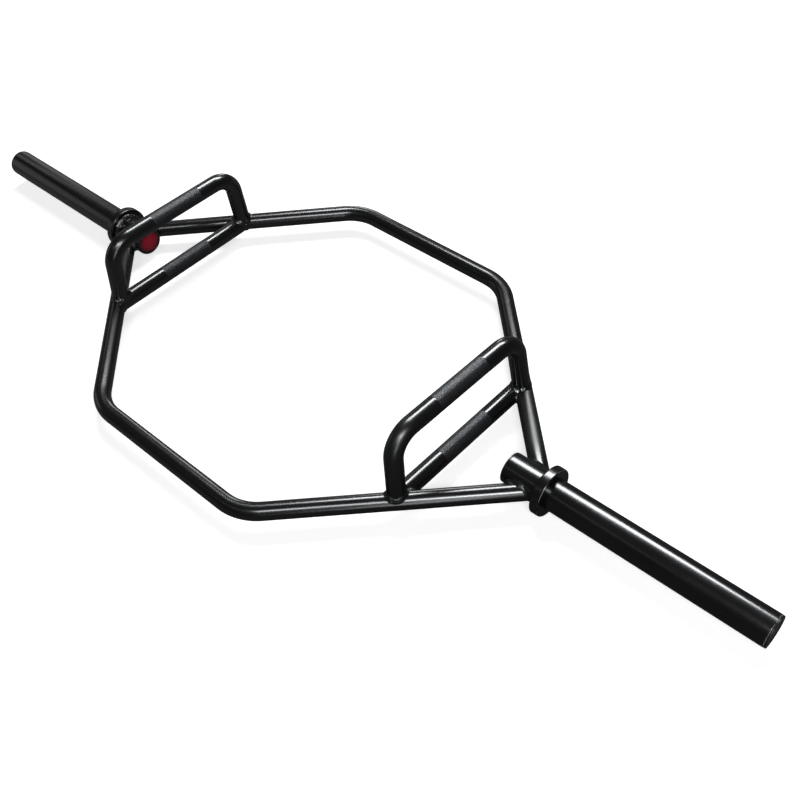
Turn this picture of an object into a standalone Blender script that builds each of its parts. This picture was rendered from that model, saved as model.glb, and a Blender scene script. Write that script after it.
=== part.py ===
"""Hex bar for olympic weight plates, also called a trap bar.

Two bent frame bars make a hexagon that the lifter stands in. A plate sleeve with a stop collar
is welded across each end of it, and each side has a low handle in the plane of the hexagon and
a raised handle above it. X runs along the sleeves, Y across the hexagon and Z up. The origin is
on the ground under the middle of the hexagon, with the two collars touching the ground.
Lengths are in metres.
"""
import math

import bmesh
import bpy
from mathutils import Matrix, Vector

# Sleeves, collars and their end plugs, measured along X from the middle of the bar
TOTAL_LENGTH = 1.700
SLEEVE_RADIUS = 0.0250
SLEEVE_WALL = 0.0040
SLEEVE_RIM = 0.0008
STUB_X = 0.4257
COLLAR_X = 0.4885
COLLAR_WIDTH = 0.0147
COLLAR_RADIUS = 0.0393
COLLAR_EDGE = 0.0020
PLUG_FLANGE = 0.0025
PLUG_RADIUS = 0.0247
PLUG_EDGE = 0.0010
PLUG_DEPTH = 0.0125
PLUG_WALL = 0.0030
BADGE_RADIUS = 0.0200
BADGE_RECESS = 0.0009
BADGE_DOME = 0.0009
BADGE_SHOULDER = (0.92, 0.55)
BADGE_CROWN = (0.60, 0.90)

# Frame bars: solid round bar, whose centre lines meet on the sleeves' line seen from above
BAR_RADIUS = 0.0143
FRAME_DROP = 0.0048
APEX_X = 0.4868
CORNER_X = 0.1685
CORNER_Y = 0.3100
FRAME_BEND = 0.0836

# Handles: the grips are turned slightly on the frame, and each raised one sits a little along Y
HANDLE_RADIUS = 0.0146
LOW_GRIP_X = 0.3337
LOW_GRIP_TURN = 0.0040
LOW_GRIP_SETBACK = 0.0070
HIGH_GRIP_X = 0.3294
HIGH_GRIP_RISE = 0.1132
HIGH_GRIP_HALF = 0.1307
HIGH_FOOT_X = 0.3365
HIGH_FOOT_HALF = 0.1420
HIGH_FOOT_LIFT = 0.0085
HIGH_GRIP_TURN = 0.0053
HIGH_GRIP_SHIFT = {"left": 0.0100, "right": -0.0038}
HANDLE_BEND = 0.0406

# Welds: round beads laid along each joint and trimmed back to the steel on both sides. Angles
# round the sleeve are in degrees, from +Y up.
FRAME_BEAD = 0.0038
FOOT_BEAD = 0.0037
LOW_BEAD = 0.0028
COLLAR_BEAD = 0.0050
BEAD_STANDOFF = 0.0013
BEAD_RIPPLE = 0.10
RIPPLE_STEP = 2.4
ARC_END = 0.60
ARC_STEP = 8
TOP_ARC = (28, 152)
BOTTOM_ARC = (-115, -65)

# Gaps left between touching pieces, and how far the cutters reach along the sleeves and the legs
GAP = 0.0003
COPE_GAP = 0.0004
SLEEVE_CUT = (0.40, 0.56)
LEG_CUT = (-0.1, 0.6)

# How finely round shapes are divided
BEND_STEPS = 6
BAR_RESOLUTION = 10
BEAD_RESOLUTION = 2
TURN_STEPS = 40
CUTTER_SIDES = 32
RING_POINTS = 26
SHARP_ANGLE = 40
MERGE = 0.00001

AXIS_HEIGHT = COLLAR_RADIUS
FRAME_HEIGHT = AXIS_HEIGHT - FRAME_DROP
HALF_LENGTH = TOTAL_LENGTH / 2
SIDES = {"left": -1, "right": 1}
ENDS = {"front": -1, "rear": 1}
OTHER_END = {"front": "rear", "rear": "front"}

GLOSS_BLACK = ("gloss_black_steel", (0.010, 0.010, 0.011), 0.22, 0.0)
BLACK_PLASTIC = ("black_plastic", (0.012, 0.012, 0.013), 0.45, 0.0)
RED_BADGE = ("red_badge", (0.250, 0.008, 0.022), 0.35, 0.0)


def clear_scene():
    """Start from an empty file."""
    for thing in list(bpy.data.objects):
        bpy.data.objects.remove(thing)


def new_collection(name):
    """Make a collection under the scene."""
    collection = bpy.data.collections.new(name)
    bpy.context.scene.collection.children.link(collection)
    return collection


def material(finish):
    """A plain surface from a name, colour, roughness and metallic value."""
    name, colour, roughness, metallic = finish
    surface = bpy.data.materials.get(name)
    if surface is None:
        surface = bpy.data.materials.new(name)
        surface.use_nodes = True
        shader = surface.node_tree.nodes["Principled BSDF"]
        shader.inputs["Base Color"].default_value = (*colour, 1.0)
        shader.inputs["Roughness"].default_value = roughness
        shader.inputs["Metallic"].default_value = metallic
        surface.diffuse_color = (*colour, 1.0)
    return surface


def add_mesh(name, mesh, collection, finish=None):
    """Put a mesh in a collection as a smooth-shaded object."""
    thing = bpy.data.objects.new(name, mesh)
    collection.objects.link(thing)
    mesh.shade_smooth()
    mesh.set_sharp_from_angle(angle=math.radians(SHARP_ANGLE))
    if finish:
        mesh.materials.append(material(finish))
    return thing


def rounded_route(corners, bend):
    """Points along straight runs, with every inner corner rounded to the bend radius."""
    route = [corners[0]]
    for before, corner, after in zip(corners, corners[1:], corners[2:]):
        back = (before - corner).normalized()
        ahead = (after - corner).normalized()
        half = back.angle(ahead) / 2
        centre = corner + (back + ahead).normalized() * bend / math.sin(half)
        start = corner + back * bend / math.tan(half) - centre
        end = corner + ahead * bend / math.tan(half) - centre
        axis = start.cross(end).normalized()
        for step in range(BEND_STEPS + 1):
            turn = Matrix.Rotation(start.angle(end) * step / BEND_STEPS, 3, axis)
            route.append(centre + turn @ start)
    route.append(corners[-1])
    return route


def rod(name, route, radius, collection, finish, resolution=BAR_RESOLUTION, cyclic=False, swell=None):
    """A round bar along a route, as a closed mesh."""
    curve = bpy.data.curves.new(name, "CURVE")
    curve.dimensions = "3D"
    curve.bevel_depth = radius
    curve.bevel_resolution = resolution
    curve.use_fill_caps = not cyclic
    spline = curve.splines.new("POLY")
    spline.points.add(len(route) - 1)
    spline.use_cyclic_u = cyclic
    for index, (point, place) in enumerate(zip(spline.points, route)):
        point.co = (*place, 1.0)
        point.radius = swell[index] if swell else 1.0
    guide = bpy.data.objects.new(name + "_route", curve)
    collection.objects.link(guide)
    evaluated = guide.evaluated_get(bpy.context.evaluated_depsgraph_get())
    mesh = bpy.data.meshes.new_from_object(evaluated)
    weld_caps(mesh)
    bar = add_mesh(name, mesh, collection, finish)
    bar.matrix_world = guide.matrix_world
    bpy.data.objects.remove(guide)
    bpy.data.curves.remove(curve)
    return bar


def weld_caps(mesh):
    """Join a curve's loose end caps to its wall."""
    edit = bmesh.new()
    edit.from_mesh(mesh)
    bmesh.ops.remove_doubles(edit, verts=edit.verts, dist=MERGE)
    bmesh.ops.recalc_face_normals(edit, faces=edit.faces)
    edit.to_mesh(mesh)
    edit.free()


def turned(name, profile, closed, side, collection, finish):
    """Turn a profile of radius and distance along X about the sleeve axis."""
    mesh = bpy.data.meshes.new(name)
    edges = [(index, index + 1) for index in range(len(profile) - 1)]
    if closed:
        edges.append((len(profile) - 1, 0))
    mesh.from_pydata([(radius, 0.0, along) for radius, along in profile], edges, [])
    piece = add_mesh(name, mesh, collection, finish)
    piece.location = (0.0, 0.0, AXIS_HEIGHT)
    piece.rotation_euler = (0.0, side * math.pi / 2, 0.0)
    screw = piece.modifiers.new("turn", "SCREW")
    screw.steps = TURN_STEPS
    screw.render_steps = TURN_STEPS
    screw.use_merge_vertices = True
    screw.merge_threshold = MERGE
    screw.use_smooth_shade = True
    return piece


def round_cutter(name, start, end, radius, collection):
    """A cylinder between two points whose flats stay outside the given radius."""
    line = end - start
    bpy.ops.mesh.primitive_cylinder_add(
        vertices=CUTTER_SIDES,
        radius=radius / math.cos(math.pi / CUTTER_SIDES),
        depth=line.length,
        location=(start + end) / 2,
        rotation=line.to_track_quat("Z", "Y").to_euler(),
    )
    cutter = bpy.context.object
    cutter.name = name
    for home in list(cutter.users_collection):
        home.objects.unlink(cutter)
    collection.objects.link(cutter)
    hide(cutter)
    return cutter


def hide(cutter):
    """Show a cutter only as a wire guide."""
    cutter.hide_render = True
    cutter.display_type = "WIRE"


def combine(piece, other, operation):
    """Cut a piece with another object, or join that object to it."""
    step = piece.modifiers.new(operation.lower() + "_" + other.name, "BOOLEAN")
    step.operation = operation
    step.solver = "EXACT"
    step.object = other


def bar_line_y(x):
    """Distance from the middle to an angled bar's centre line, at a distance x along the sleeves."""
    return CORNER_Y * (APEX_X - abs(x)) / (APEX_X - CORNER_X)


def angled_run(side, end):
    """Apex on the sleeve's axis, and corner of the hexagon, that an angled run joins."""
    sign = SIDES[side]
    apex = Vector((sign * APEX_X, 0.0, FRAME_HEIGHT))
    return apex, Vector((sign * CORNER_X, ENDS[end] * CORNER_Y, FRAME_HEIGHT))


def low_grip_end(side, end):
    """Where a low handle's centre line meets the angled bar's."""
    x = SIDES[side] * LOW_GRIP_X + ENDS[end] * LOW_GRIP_TURN
    return Vector((x, ENDS[end] * bar_line_y(x), FRAME_HEIGHT))


def high_grip_point(side, end, x, half, height):
    """A point of a raised handle's centre line, with the handle's turn and shift put in."""
    along = SIDES[side] * x + ENDS[end] * HIGH_GRIP_TURN
    across = ENDS[end] * half + HIGH_GRIP_SHIFT[side]
    return Vector((along, across, height))


def high_foot(side, end):
    """Where a raised handle's leg reaches the height of the frame bars' centre lines."""
    return high_grip_point(side, end, HIGH_FOOT_X, HIGH_FOOT_HALF, FRAME_HEIGHT)


def high_shoulder(side, end):
    """The sharp corner that a raised handle's bend rounds off."""
    return high_grip_point(side, end, HIGH_GRIP_X, HIGH_GRIP_HALF, AXIS_HEIGHT + HIGH_GRIP_RISE)


def sleeve_tube(side, parts):
    """Plate sleeve and inner stub, one tube through the collar."""
    inner = STUB_X + PLUG_FLANGE + GAP
    outer = HALF_LENGTH - PLUG_FLANGE - GAP
    bore = SLEEVE_RADIUS - SLEEVE_WALL
    profile = [
        (bore, outer),
        (SLEEVE_RADIUS - SLEEVE_RIM, outer),
        (SLEEVE_RADIUS, outer - SLEEVE_RIM),
        (SLEEVE_RADIUS, inner + SLEEVE_RIM),
        (SLEEVE_RADIUS - SLEEVE_RIM, inner),
        (bore, inner),
    ]
    return turned(side + "_sleeve_tube", profile, True, SIDES[side], parts, GLOSS_BLACK)


def quarter(centre_radius, centre_along, size, first, last):
    """Three points of a rounded edge of a turned profile, between two angles in degrees."""
    points = []
    for angle in (first, (first + last) / 2, last):
        turn = math.radians(angle)
        points.append((centre_radius + size * math.cos(turn), centre_along + size * math.sin(turn)))
    return points


def collar(side, parts):
    """Stop collar, a thick ring that the plates rest against."""
    inner = COLLAR_X
    outer = COLLAR_X + COLLAR_WIDTH
    bore = SLEEVE_RADIUS + GAP
    rim = COLLAR_RADIUS - COLLAR_EDGE
    profile = [(bore, outer)]
    profile += quarter(rim, outer - COLLAR_EDGE, COLLAR_EDGE, 90, 0)
    profile += quarter(rim, inner + COLLAR_EDGE, COLLAR_EDGE, 0, -90)
    profile.append((bore, inner))
    return turned(side + "_collar", profile, True, SIDES[side], parts, GLOSS_BLACK)


def outer_plug(side, parts):
    """Plastic plug that closes the sleeve's outer end."""
    seat = HALF_LENGTH - PLUG_FLANGE
    spigot = SLEEVE_RADIUS - SLEEVE_WALL - GAP
    profile = [(0.0, HALF_LENGTH)]
    profile += quarter(PLUG_RADIUS - PLUG_EDGE, HALF_LENGTH - PLUG_EDGE, PLUG_EDGE, 90, 0)
    profile += [
        (PLUG_RADIUS, seat),
        (spigot, seat),
        (spigot, seat - PLUG_DEPTH),
        (spigot - PLUG_WALL, seat - PLUG_DEPTH),
        (spigot - PLUG_WALL, seat - PLUG_WALL),
        (0.0, seat - PLUG_WALL),
    ]
    return turned(side + "_sleeve_end_plug", profile, False, SIDES[side], parts, BLACK_PLASTIC)


def inner_plug(side, parts):
    """Plastic plug in the stub's inner end, with a shallow round recess for the badge."""
    seat = STUB_X + PLUG_FLANGE
    spigot = SLEEVE_RADIUS - SLEEVE_WALL - GAP
    recess = BADGE_RADIUS + GAP
    profile = [
        (0.0, seat + PLUG_WALL),
        (spigot - PLUG_WALL, seat + PLUG_WALL),
        (spigot - PLUG_WALL, seat + PLUG_DEPTH),
        (spigot, seat + PLUG_DEPTH),
        (spigot, seat),
        (PLUG_RADIUS, seat),
    ]
    profile += quarter(PLUG_RADIUS - PLUG_EDGE, STUB_X + PLUG_EDGE, PLUG_EDGE, 0, -90)
    profile += [
        (recess, STUB_X),
        (recess, STUB_X + BADGE_RECESS),
        (0.0, STUB_X + BADGE_RECESS),
    ]
    return turned(side + "_stub_plug", profile, False, SIDES[side], parts, BLACK_PLASTIC)


def badge(side, parts):
    """Bare round badge in the stub plug's recess, slightly domed."""
    back = STUB_X + BADGE_RECESS - GAP
    face = STUB_X
    profile = [
        (0.0, back),
        (BADGE_RADIUS, back),
        (BADGE_RADIUS, face),
    ]
    for across, rise in (BADGE_SHOULDER, BADGE_CROWN):
        profile.append((BADGE_RADIUS * across, face - BADGE_DOME * rise))
    profile.append((0.0, face - BADGE_DOME))
    return turned(side + "_badge", profile, False, SIDES[side], parts, RED_BADGE)


def frame_bar(end, parts, cutters):
    """One bent half of the hexagon, coped to both sleeves."""
    left = angled_run("left", end)
    right = angled_run("right", end)
    route = rounded_route([left[0], left[1], right[1], right[0]], FRAME_BEND)
    bar = rod(end + "_frame_bar", route, BAR_RADIUS, parts, GLOSS_BLACK)
    for side in SIDES:
        combine(bar, cutters[side + "_sleeve_cope"], "DIFFERENCE")
    return bar


def low_handle(side, parts, cutters):
    """Straight handle in the plane of the hexagon, coped to both angled bars."""
    front = low_grip_end(side, "front")
    rear = low_grip_end(side, "rear")
    setback = (rear - front).normalized() * LOW_GRIP_SETBACK
    bar = rod(side + "_low_handle", [front + setback, rear - setback], HANDLE_RADIUS, parts, GLOSS_BLACK)
    for end in ENDS:
        combine(bar, cutters[side + "_" + end + "_bar_cope"], "DIFFERENCE")
    return bar


def high_handle(side, parts, cutters):
    """Raised handle, a bent bar whose feet stand on the joints of the low handle and the frame."""
    feet = {}
    for end in ENDS:
        foot = high_foot(side, end)
        leg = high_shoulder(side, end) - foot
        feet[end] = foot + leg * HIGH_FOOT_LIFT / leg.z
    corners = [feet["front"], high_shoulder(side, "front"), high_shoulder(side, "rear"), feet["rear"]]
    bar = rod(side + "_high_handle", rounded_route(corners, HANDLE_BEND), HANDLE_RADIUS, parts, GLOSS_BLACK)
    for end in ENDS:
        combine(bar, cutters[side + "_" + end + "_bar_cope"], "DIFFERENCE")
    combine(bar, cutters[side + "_low_cope"], "DIFFERENCE")
    return bar


def reach_to_rod(start, along, rod_point, rod_line, radius, lift):
    """How far along a line a round rod's surface lies, but no deeper than lift above its middle."""
    across = start - rod_point
    across -= rod_line * across.dot(rod_line)
    lateral = along - rod_line * along.dot(rod_line)
    a = lateral.length_squared
    b = across.dot(lateral)
    c = across.length_squared - radius ** 2
    return (-b + math.sqrt(max(b * b - a * c, lift ** 2 * a))) / a


def draw_in(place, rod_point, rod_line, radius):
    """Bring a point that lies off a rod straight in to the given distance from its centre line."""
    across = place - rod_point
    across -= rod_line * across.dot(rod_line)
    return place - across.normalized() * max(0.0, across.length - radius)


def eased(route):
    """Ease the kinks of a closed route by moving each point towards its neighbours."""
    before = route[-1:] + route[:-1]
    after = route[1:] + route[:1]
    return [here / 2 + (back + ahead) / 4 for back, here, ahead in zip(before, route, after)]


def saddle_route(foot, along, radius, lift, rods):
    """Closed route round a branch where it stands on rods, each of them a point on its centre line,
    its direction, its radius and, for one that ends at the joint, the way it leaves it."""
    side = along.orthogonal().normalized()
    route = []
    for step in range(RING_POINTS):
        spoke = Matrix.Rotation(2 * math.pi * step / RING_POINTS, 3, along) @ side
        start = foot + spoke * (radius + BEAD_STANDOFF)
        places = []
        for rod_point, rod_line, rod_radius, leaving in rods:
            if leaving is None or (start - rod_point).dot(leaving) > 0:
                clear_radius = rod_radius + BEAD_STANDOFF
                reach = reach_to_rod(start, along, rod_point, rod_line, clear_radius, lift)
                place = draw_in(start + along * reach, rod_point, rod_line, clear_radius)
                places.append((reach, place))
        route.append(max(places, key=lambda pair: pair[0])[1])
    return eased(route)


def ripples(count):
    """Bead radius factors, which rise and fall as a weld's runs do."""
    return [1.0 + BEAD_RIPPLE * math.sin(index * RIPPLE_STEP) for index in range(count)]


def bead(name, route, radius, collection, finish):
    """A closed round bead along a route."""
    return rod(name, route, radius, collection, finish, BEAD_RESOLUTION, True, ripples(len(route)))


def frame_weld(side, end, parts, cutters):
    """Weld round the end of a frame bar on the sleeve."""
    apex, corner = angled_run(side, end)
    sleeve = (Vector((0.0, 0.0, AXIS_HEIGHT)), Vector((1.0, 0.0, 0.0)), SLEEVE_RADIUS, None)
    route = saddle_route(apex, (corner - apex).normalized(), BAR_RADIUS, 0.0, [sleeve])
    weld = bead(side + "_" + end + "_frame_weld", route, FRAME_BEAD, parts, GLOSS_BLACK)
    for cutter in ("_sleeve_clear", "_collar_clear", "_" + end + "_bar_clear"):
        combine(weld, cutters[side + cutter], "DIFFERENCE")
    return weld


def handle_weld(side, end, parts, guides, cutters):
    """Weld round a raised handle's foot, run together with the one round the low handle's end."""
    apex, corner = angled_run(side, end)
    joint = low_grip_end(side, end)
    grip = (low_grip_end(side, OTHER_END[end]) - joint).normalized()
    line = (corner - apex).normalized()
    frame = (joint, line, BAR_RADIUS, None)
    low = (joint, grip, HANDLE_RADIUS, grip - line * grip.dot(line))
    foot = high_foot(side, end)
    leg = (high_shoulder(side, end) - foot).normalized()
    name = side + "_" + end + "_handle_weld"
    upper_route = saddle_route(foot, leg, HANDLE_RADIUS, HIGH_FOOT_LIFT, [frame, low])
    lower_route = saddle_route(joint, grip, HANDLE_RADIUS, LOW_GRIP_SETBACK, [frame])
    weld = bead(name, upper_route, FOOT_BEAD, parts, GLOSS_BLACK)
    lower = bead(name + "_low", lower_route, LOW_BEAD, guides, None)
    hide(lower)
    combine(weld, lower, "UNION")
    for cutter in ("_" + end + "_bar_clear", "_low_clear", "_" + end + "_leg_clear"):
        combine(weld, cutters[side + cutter], "DIFFERENCE")
    return weld


def collar_weld(side, place, arc, parts, cutters):
    """Weld in the corner between the collar and the stub, clear of the frame bars."""
    first, last = arc
    steps = round((last - first) / ARC_STEP)
    x = SIDES[side] * (COLLAR_X - BEAD_STANDOFF)
    route = []
    for step in range(steps + 1):
        angle = math.radians(first + (last - first) * step / steps)
        spoke = Vector((0.0, math.cos(angle), math.sin(angle)))
        route.append(Vector((x, 0.0, AXIS_HEIGHT)) + spoke * (SLEEVE_RADIUS + BEAD_STANDOFF))
    swell = ripples(len(route))
    swell[0] = ARC_END
    swell[-1] = ARC_END
    name = side + "_collar_weld_" + place
    weld = rod(name, route, COLLAR_BEAD, parts, GLOSS_BLACK, BEAD_RESOLUTION, False, swell)
    combine(weld, cutters[side + "_sleeve_clear"], "DIFFERENCE")
    combine(weld, cutters[side + "_collar_clear"], "DIFFERENCE")
    return weld


def make_cutters(guides):
    """Cylinders that stand for each bar with a gap round it."""
    cutters = {}

    def add(name, start, end, radius):
        cutters[name] = round_cutter(name, start, end, radius, guides)

    for side, sign in SIDES.items():
        before, beyond = (Vector((sign * x, 0.0, AXIS_HEIGHT)) for x in SLEEVE_CUT)
        add(side + "_sleeve_cope", before, beyond, SLEEVE_RADIUS + COPE_GAP)
        add(side + "_sleeve_clear", before, beyond, SLEEVE_RADIUS + GAP)
        face = Vector((sign * (COLLAR_X - GAP), 0.0, AXIS_HEIGHT))
        add(side + "_collar_clear", face, beyond, COLLAR_RADIUS + GAP)
        front = low_grip_end(side, "front")
        rear = low_grip_end(side, "rear")
        add(side + "_low_cope", front, rear, HANDLE_RADIUS + COPE_GAP)
        add(side + "_low_clear", front, rear, HANDLE_RADIUS + GAP)
        for end in ENDS:
            apex, corner = angled_run(side, end)
            add(side + "_" + end + "_bar_cope", apex, corner, BAR_RADIUS + COPE_GAP)
            add(side + "_" + end + "_bar_clear", apex, corner, BAR_RADIUS + GAP)
            foot = high_foot(side, end)
            leg = high_shoulder(side, end) - foot
            low, high = (foot + leg * share for share in LEG_CUT)
            add(side + "_" + end + "_leg_clear", low, high, HANDLE_RADIUS + GAP)
    return cutters


def build():
    """Build the whole bar."""
    clear_scene()
    parts = new_collection("olympic_hex_bar")
    guides = new_collection("cutters")
    cutters = make_cutters(guides)
    for end in ENDS:
        frame_bar(end, parts, cutters)
    for side in SIDES:
        sleeve_tube(side, parts)
        collar(side, parts)
        outer_plug(side, parts)
        inner_plug(side, parts)
        badge(side, parts)
        low_handle(side, parts, cutters)
        high_handle(side, parts, cutters)
        for end in ENDS:
            frame_weld(side, end, parts, cutters)
            handle_weld(side, end, parts, guides, cutters)
        collar_weld(side, "top", TOP_ARC, parts, cutters)
        collar_weld(side, "bottom", BOTTOM_ARC, parts, cutters)


build()
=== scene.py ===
"""Looks of the hexagonal olympic bar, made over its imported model.

The bars, sleeves, collars, plugs and welds are made again here with finer meshes on the model's own
centre lines and radii, so every piece lies where its solid does. X runs along the sleeves, Y across
the hexagon and Z up. Lengths are in metres.
"""
import math
from collections import namedtuple

import bmesh
import bpy
from mathutils import Matrix, Vector, noise


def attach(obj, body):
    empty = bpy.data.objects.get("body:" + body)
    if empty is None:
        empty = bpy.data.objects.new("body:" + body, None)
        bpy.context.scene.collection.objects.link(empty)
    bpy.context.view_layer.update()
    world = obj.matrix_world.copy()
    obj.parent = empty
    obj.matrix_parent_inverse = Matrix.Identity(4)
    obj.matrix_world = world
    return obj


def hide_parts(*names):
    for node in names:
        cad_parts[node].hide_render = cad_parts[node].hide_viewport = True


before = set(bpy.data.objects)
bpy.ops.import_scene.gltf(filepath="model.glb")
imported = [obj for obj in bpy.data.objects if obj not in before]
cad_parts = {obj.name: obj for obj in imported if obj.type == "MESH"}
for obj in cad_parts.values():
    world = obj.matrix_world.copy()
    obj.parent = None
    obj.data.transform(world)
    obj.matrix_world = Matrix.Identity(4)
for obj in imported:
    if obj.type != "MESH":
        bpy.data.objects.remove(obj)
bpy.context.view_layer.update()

# A straight round bar, from a point of its centre line. A branch that stands on it reaches in no
# deeper than lift above the centre line and, where leaving is given, meets it on that side alone.
Rod = namedtuple("Rod", "point line radius lift leaving", defaults=(0.0, None))

# A weld: how far its toes reach from the corner, its crown, and how much more it bulges where the
# two surfaces run on smoothly
Bead = namedtuple("Bead", "toe crown bulge")

# Sleeves and collars, with places measured along X from the middle of the bar
TOTAL_LENGTH = 1.700
SLEEVE_RADIUS = 0.0250
SLEEVE_WALL = 0.0040
SLEEVE_ROUNDING = 0.0011
STUB_X = 0.4257
COLLAR_X = 0.4885
COLLAR_WIDTH = 0.0147
COLLAR_RADIUS = 0.0393
COLLAR_ROUNDING = 0.0020
COLLAR_OVERLAP = 0.0002

# Plugs, with the dish in the outer one, and the badge with its recess in the inner one
PLUG_FLANGE = 0.0025
PLUG_RADIUS = 0.0247
PLUG_DEPTH = 0.0125
PLUG_ROUNDING = 0.0008
PLUG_GAP = 0.0002
DISH_RADIUS = 0.0165
DISH_RIM = 0.0171
DISH_DEPTH = 0.0006
RECESS_DEPTH = 0.0009
RECESS_ROUNDING = 0.0004
BADGE_GAP = 0.00025
BADGE_RADIUS = 0.0200
BADGE_DOME = 0.00081
BADGE_SINK = 0.0001
BADGE_EDGE_SINK = 0.0003
BADGE_RING_HEIGHT = 0.00022

# Shares of a radius or of a rounding: the badge's face, the middle and half width of its ring, and
# where paint is rubbed off the sleeve's end and the collar's rim, which is also a painted highlight
BADGE_FACE = 0.995
BADGE_RING = 0.86
BADGE_RING_HALF = 0.03
SLEEVE_RUBBED_AND_HIGHLIT = 0.8
COLLAR_RUBBED_AND_HIGHLIT = (0.5, 0.85)

# Frame bars
BAR_RADIUS = 0.0143
FRAME_DROP = 0.0048
APEX_X = 0.4868
CORNER_X = 0.1685
CORNER_Y = 0.3100
FRAME_BEND = 0.0836

# Handles
HANDLE_RADIUS = 0.0146
LOW_GRIP_X = 0.3337
LOW_GRIP_TURN = 0.0040
LOW_GRIP_SETBACK = 0.0070
HIGH_GRIP_X = 0.3294
HIGH_GRIP_RISE = 0.1132
HIGH_GRIP_HALF = 0.1307
HIGH_FOOT_X = 0.3365
HIGH_FOOT_HALF = 0.1420
HIGH_FOOT_LIFT = 0.0085
HIGH_GRIP_TURN = 0.0053
HIGH_GRIP_SHIFT = {"left": 0.0100, "right": -0.0038}
HANDLE_BEND = 0.0406

# Knurling: its half length, how far its middle is towards the rear bar, its diamonds, and half the
# length of the step at each end as a share of their pitch
KNURL_HALF = 0.0515
KNURL_SHIFT = 0.0070
KNURL_PITCH = 0.00082
KNURL_DEPTH = 0.00013
KNURL_CREST = 0.00002
KNURL_STEP = 0.3

# Welds
FRAME_BEAD = Bead(toe=0.0060, crown=-0.0007, bulge=0.0010)
FOOT_BEAD = Bead(toe=0.0054, crown=-0.0010, bulge=0.0028)
LOW_BEAD = Bead(toe=0.0042, crown=-0.0009, bulge=0.0024)
COLLAR_WELD_FACE = 0.0068
COLLAR_WELD_STUB = 0.0060
COLLAR_CROWN = 0.0006
CROWN_POWER = 1.2
RIPPLE_LENGTH = 0.0027
RIPPLE_HEIGHT = 0.00030
RIPPLE_CURL = 0.45
RIPPLE_MEAN = 0.6
LUMP_HEIGHT = 0.00060
SLOW_LUMPS = 95
QUICK_LUMPS = 330
TOE_WANDER = 0.16
TOE_SINK = 0.00012
WELD_SINK = 0.0008

# Rounds of easing for a weld's line, its upper and lower toes, and the way it faces and its crown
LINE_EASING = 3
UPPER_EASING = 1
LOWER_EASING = 3
FACE_EASING = 4

# Seeds of the unevenness: of each frame weld, handle weld and collar weld, and what is added to
# them for the two toes and for the weld round a low handle's end
WELD_SEEDS = {
    "left": {"front": (3.0, 8.0), "rear": (14.0, 19.0), "collar": 25.0},
    "right": {"front": (34.0, 39.0), "rear": (45.0, 50.0), "collar": 56.0},
}
TOE_SEEDS = (20.0, 40.0)
COLLAR_TOE_SEEDS = (0.0, 30.0)
LOW_WELD_SEED = 7.0

# Spatter: how many drops a weld's run has, how far from its toe they lie, and their shape as rings
# with their heights and widths, and a tip
SPATTER_COUNT = 16
SPATTER_NEAR = 0.0006
SPATTER_FAR = 0.0090
SPATTER_SIZE = 0.00042
DROP_SIDES = 10
DROP_RINGS = ((-0.4, 1.0), (0.15, 0.95), (0.5, 0.7), (0.72, 0.35))
DROP_TIP = 0.8

# How finely shapes are divided, how far an end reaches into what it is welded to, and how far from
# an edge the row lies that keeps the edge's shading off the rest of the bar
BAR_SIDES = 112
BEND_STEPS = 40
LATHE_STEPS = 160
EDGE_STEPS = 6
RECESS_STEPS = 3
BADGE_STEPS = 24
ROUTE_POINTS = 90
WELD_STEPS = 300
FACE_POINTS = 16
SHARP_ANGLE = math.radians(32)
EMBED = 0.0006
GUARD = 0.0008
PROFILE_GUARD = 0.0003

AXIS_HEIGHT = COLLAR_RADIUS
FRAME_HEIGHT = AXIS_HEIGHT - FRAME_DROP
HALF_LENGTH = TOTAL_LENGTH / 2
SPIGOT_RADIUS = SLEEVE_RADIUS - SLEEVE_WALL - PLUG_GAP
LOW_END_LIFT = LOW_GRIP_SETBACK * 0.6
HIGH_END_LIFT = HIGH_FOOT_LIFT * 0.9
SIDES = {"left": -1, "right": 1}
ENDS = {"front": -1, "rear": 1}
OTHER_END = {"front": "rear", "rear": "front"}
X_AXIS = Vector((1.0, 0.0, 0.0))
SLEEVE_ROD = Rod(Vector((0.0, 0.0, AXIS_HEIGHT)), X_AXIS, SLEEVE_RADIUS)


def placed(name, data):
    """A new object in the scene."""
    made = bpy.data.objects.new(name, data)
    bpy.context.scene.collection.objects.link(made)
    return made


# Camera

CAMERA_TURN = Vector((2.306354535768423, 0.8468216628461818, -0.41614002685678303))
CAMERA_PLACE = Vector((0.98322, -0.73579, 1.23363))
CAMERA_LENS = 45.782


def place_camera():
    """The photograph's viewpoint, from the fit of the bar's edges to it."""
    data = bpy.data.cameras.new("camera")
    data.sensor_width = 36
    data.lens = CAMERA_LENS
    data.clip_start = 0.01
    data.clip_end = 100
    camera = placed("camera", data)
    turn = Matrix.Rotation(CAMERA_TURN.length, 3, CAMERA_TURN.normalized())
    facing = Matrix((turn[0], -turn[1], -turn[2])).transposed()
    camera.matrix_world = Matrix.LocRotScale(CAMERA_PLACE, facing.to_quaternion(), None)
    bpy.context.scene.camera = camera


place_camera()
bpy.context.scene.view_settings.view_transform = "Standard"


# Materials

# Colours, the darker one first where there are two. Black varies between two shares of itself.
BLACK = (0.0030, 0.0030, 0.0033)
BLACK_SHARES = (0.8, 1.25)
# Grey of primer on rubbed edges, which is also a painted highlight along them
PRIMER_GREY_AND_HIGHLIGHT = (0.26, 0.26, 0.27)
KNURL_COLOURS = ((0.0043, 0.0046, 0.0050), (0.0143, 0.0150, 0.0163))
PLASTIC_COLOURS = ((0.010, 0.010, 0.011), (0.016, 0.016, 0.017))
# The badge's red darkened at its rim, as painted shade
BADGE_RIM_SHADE_RED = (0.170, 0.002, 0.014)
BADGE_RED = (0.460, 0.004, 0.032)

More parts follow.
